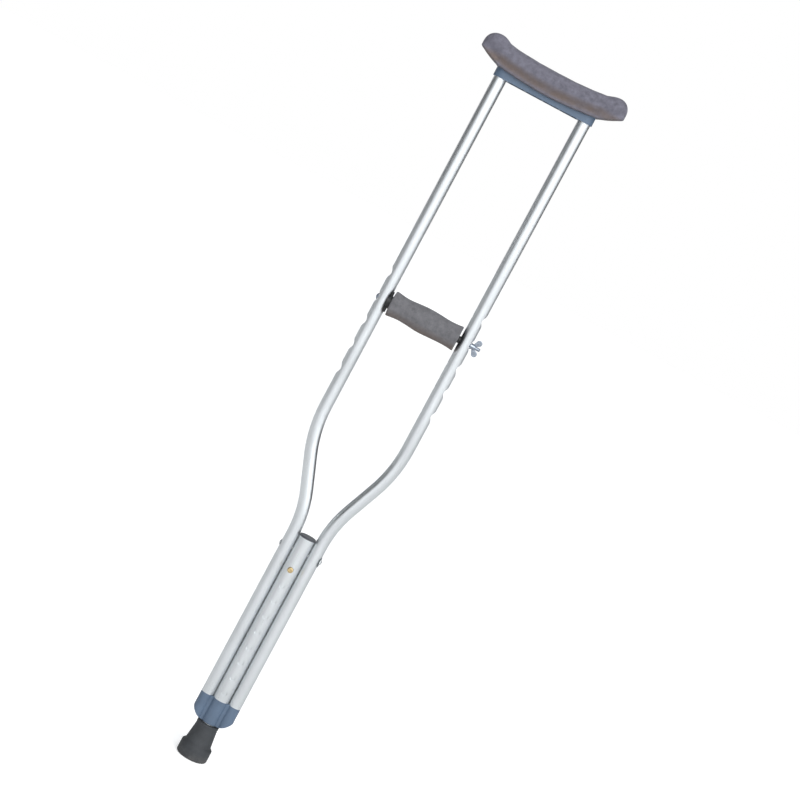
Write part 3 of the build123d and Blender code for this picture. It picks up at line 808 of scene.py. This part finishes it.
def mark_height(mesh, sizes):
    """Writes each vertex's height above the lower edge, which the foam's painted shade follows."""
    heights = mesh.attributes.new("above_lip", "FLOAT", "POINT")
    for index, vertex in enumerate(mesh.vertices):
        past_lip = max(abs(vertex.co.x) - sizes.lip_reach, 0.0)
        above = vertex.co.z - lower_edge(vertex.co.x, sizes)
        heights.data[index].value = above + SHADE_RUN_OUT * past_lip


class CRUTCH_OT_grip_foam(Operator):
    """Makes the foam sleeve on the hand grip"""

    bl_idname = "crutch.grip_foam"
    bl_label = "Grip foam"

    def execute(self, context):
        sizes = context.scene.crutch_grip
        colours = context.scene.crutch_colours
        mesh = even_skin("grip", "grip_foam", sizes.voxel)
        shares = free_share(mesh, "grip_core")
        mesh = inflate("grip", mesh, shares, sizes.swell)
        shape_grip(mesh, shares, sizes)
        mesh = subdivided("grip", mesh)
        mesh.name = "grip_foam_sleeve"
        low = grip_low.z
        # Painted shade along the grip's underside, full at its lowest edge and gone 14 mm above it.
        band = Band(starts=low - 0.002, full=low - 0.001, fades=low + 0.003, gone=low + 0.014)
        material = foam("grip_foam_skin", colours.grip, colours.foam_painted_shade, band)
        grip = new_piece("grip_foam_sleeve", mesh, "grip", "grip_foam", material, "grip_foam")
        return {"FINISHED"}


def shape_grip(mesh, shares, sizes):
    """Gives the sleeve its soft dents, its deeper neck and its reach at the bolt head's end."""
    middle = (grip_low + grip_high) / 2
    for vertex, share in zip(mesh.vertices, shares):
        out = Vector((0.0, vertex.co.y - middle.y, vertex.co.z - middle.z)).normalized()
        spot = (vertex.co.x * DENTS_ALONG, vertex.co.y * DENTS_ACROSS, vertex.co.z * DENTS_ACROSS)
        dents = (noise.noise(Vector(spot)) - DENT_SHIFT) * sizes.unevenness
        from_neck = (vertex.co.x - grip_low.x) / NECK_PLACE - 1
        neck = sizes.left_neck * math.exp(-NECK_FADE * from_neck * from_neck)
        vertex.co += out * (dents - neck) * share
        at_end = 1 - eased(vertex.co.x, grip_low.x + GRIP_END_DEPTH, middle.x)
        vertex.co.x -= sizes.left_stretch * at_end


class CRUTCH_OT_stage(Operator):
    """Sets the floor, the lights, the room and the camera"""

    bl_idname = "crutch.stage"
    bl_label = "Studio"

    def execute(self, context):
        studio = context.scene.crutch_studio
        self.set_camera(context, studio)
        self.set_floor(context, studio)
        self.set_room(context, studio)
        self.set_key_light(context, studio)
        context.scene.view_settings.view_transform = "Standard"
        context.scene.view_settings.look = "None"
        return {"FINISHED"}

    def set_camera(self, context, studio):
        """Camera at the photograph's place, rolled as the photograph is."""
        yaw, pitch, roll = studio.yaw, studio.pitch, studio.roll
        right = Vector((math.cos(yaw), math.sin(yaw), 0.0))
        ahead = Vector((
            -math.sin(yaw) * math.cos(pitch),
            math.cos(yaw) * math.cos(pitch),
            -math.sin(pitch),
        ))
        up = right.cross(ahead)
        rolled_right = right * math.cos(roll) + up * math.sin(roll)
        rolled_up = up * math.cos(roll) - right * math.sin(roll)
        camera = bpy.data.objects.new("camera", bpy.data.cameras.new("camera"))
        context.scene.collection.objects.link(camera)
        turn = Matrix((rolled_right, rolled_up, -ahead)).transposed().to_4x4()
        camera.matrix_world = Matrix.Translation(studio.camera_at) @ turn
        camera.data.sensor_width = 36.0
        camera.data.lens = studio.lens
        camera.data.clip_end = 500.0
        context.scene.camera = camera

    def set_floor(self, context, studio):
        """A large round pale floor."""
        bm = bmesh.new()
        bmesh.ops.create_circle(bm, cap_ends=True, segments=96, radius=studio.floor_radius)
        mesh = bpy.data.meshes.new("floor")
        bm.to_mesh(mesh)
        bm.free()
        floor = bpy.data.objects.new("floor", mesh)
        context.scene.collection.objects.link(floor)
        finish = Nodes("floor_paint")
        paper = finish.grain(scale=60.0, detail=3.0, roughness=0.5)
        finish.colour_from(finish.tint(paper, (0.93, 0.93, 0.93), (0.95, 0.95, 0.95)))
        finish.set(roughness=0.9, specular_ior_level=0.1)
        path = finish.tree.nodes.new("ShaderNodeLightPath")
        glow = finish.sum(path.outputs["Is Camera Ray"], studio.floor_glow, "MULTIPLY")
        finish.shader.inputs["Emission Color"].default_value = (1.0, 1.0, 1.0, 1.0)
        finish.link(glow, finish.shader.inputs["Emission Strength"])
        mesh.materials.append(finish.material)

    def set_room(self, context, studio):
        """White to the eye; its light comes from the front, and less from behind and above."""
        world = bpy.data.worlds.new("room")
        world.use_nodes = True
        context.scene.world = world
        tree = world.node_tree
        white = tree.nodes["Background"]
        white.inputs["Color"].default_value = (1.0, 1.0, 1.0, 1.0)
        soft = tree.nodes.new("ShaderNodeBackground")
        soft.inputs["Color"].default_value = (0.96, 0.98, 1.0, 1.0)
        toward = tree.nodes.new("ShaderNodeTexCoord").outputs["Generated"]
        level = None
        # Each glow's direction, the cosines where it starts and is full, and its brightness.
        for aim, low, high, share in (
            ((0.42, -0.90, 0.12), 0.12, 0.86, studio.front_light),
            ((-0.35, 0.90, 0.25), 0.65, 0.98, studio.back_light),
            ((0.0, 0.0, 1.0), 0.2, 1.0, studio.top_light),
        ):
            dot = tree.nodes.new("ShaderNodeVectorMath")
            dot.operation = "DOT_PRODUCT"
            dot.inputs[1].default_value = Vector(aim).normalized()
            tree.links.new(toward, dot.inputs[0])
            glow = tree.nodes.new("ShaderNodeMapRange")
            glow.interpolation_type = "SMOOTHSTEP"
            set_range(glow, low, high, 0.0, share)
            tree.links.new(dot.outputs["Value"], glow.inputs["Value"])
            added = tree.nodes.new("ShaderNodeMath")
            added.inputs[0].default_value = studio.room_grey
            if level is not None:
                tree.links.new(level, added.inputs[0])
            tree.links.new(glow.outputs["Result"], added.inputs[1])
            level = added.outputs[0]
        tree.links.new(level, soft.inputs["Strength"])
        path = tree.nodes.new("ShaderNodeLightPath")
        mix = tree.nodes.new("ShaderNodeMixShader")
        tree.links.new(path.outputs["Is Camera Ray"], mix.inputs[0])
        tree.links.new(soft.outputs[0], mix.inputs[1])
        tree.links.new(white.outputs[0], mix.inputs[2])
        tree.links.new(mix.outputs[0], tree.nodes["World Output"].inputs["Surface"])

    def set_key_light(self, context, studio):
        """One broad soft light in front, to the right and above, that faces the crutch."""
        light = bpy.data.lights.new("key", "AREA")
        light.shape = "RECTANGLE"
        light.size = studio.key_side
        light.size_y = studio.key_side
        light.energy = studio.key_power
        lamp = bpy.data.objects.new("key", light)
        context.scene.collection.objects.link(lamp)
        place = Vector(studio.key_at)
        aim = Vector(studio.key_aim) - place
        turned = aim.to_track_quat("-Z", "Y").to_matrix().to_4x4()
        lamp.matrix_world = Matrix.Translation(place) @ turned


class CRUTCH_PT_sidebar(Panel):
    """Lists the crutch's pieces and its studio"""

    bl_idname = "CRUTCH_PT_sidebar"
    bl_label = "Underarm crutch"
    bl_space_type = "VIEW_3D"
    bl_region_type = "UI"
    bl_category = "Crutch"

    def draw(self, context):
        for operator in OPERATORS:
            self.layout.operator(operator.bl_idname)
        for group in GROUPS:
            settings = getattr(context.scene, group)
            box = self.layout.box()
            for name in settings.__annotations__:
                box.prop(settings, name)


OPERATORS = (
    CRUTCH_OT_stage,
    CRUTCH_OT_tubes,
    CRUTCH_OT_plastics,
    CRUTCH_OT_hardware,
    CRUTCH_OT_tip,
    CRUTCH_OT_underarm_pad,
    CRUTCH_OT_grip_foam,
)
GROUPS = {
    "crutch_pad": CrutchPadSizes,
    "crutch_grip": CrutchGripSizes,
    "crutch_tip": CrutchTipSizes,
    "crutch_spacer": CrutchSpacerSizes,
    "crutch_colours": CrutchColours,
    "crutch_studio": CrutchStudio,
}


def register():
    for group in GROUPS.values():
        bpy.utils.register_class(group)
    for name, group in GROUPS.items():
        setattr(bpy.types.Scene, name, PointerProperty(type=group))
    for operator in OPERATORS:
        bpy.utils.register_class(operator)
    bpy.utils.register_class(CRUTCH_PT_sidebar)


def unregister():
    bpy.utils.unregister_class(CRUTCH_PT_sidebar)
    for operator in reversed(OPERATORS):
        bpy.utils.unregister_class(operator)
    for name, group in reversed(GROUPS.items()):
        delattr(bpy.types.Scene, name)
        bpy.utils.unregister_class(group)


def main():
    register()
    bpy.ops.crutch.stage()
    bpy.ops.crutch.tubes()
    bpy.ops.crutch.plastics()
    bpy.ops.crutch.hardware()
    bpy.ops.crutch.tip()
    bpy.ops.crutch.underarm_pad()
    bpy.ops.crutch.grip_foam()


if __name__ == "__main__":
    main()
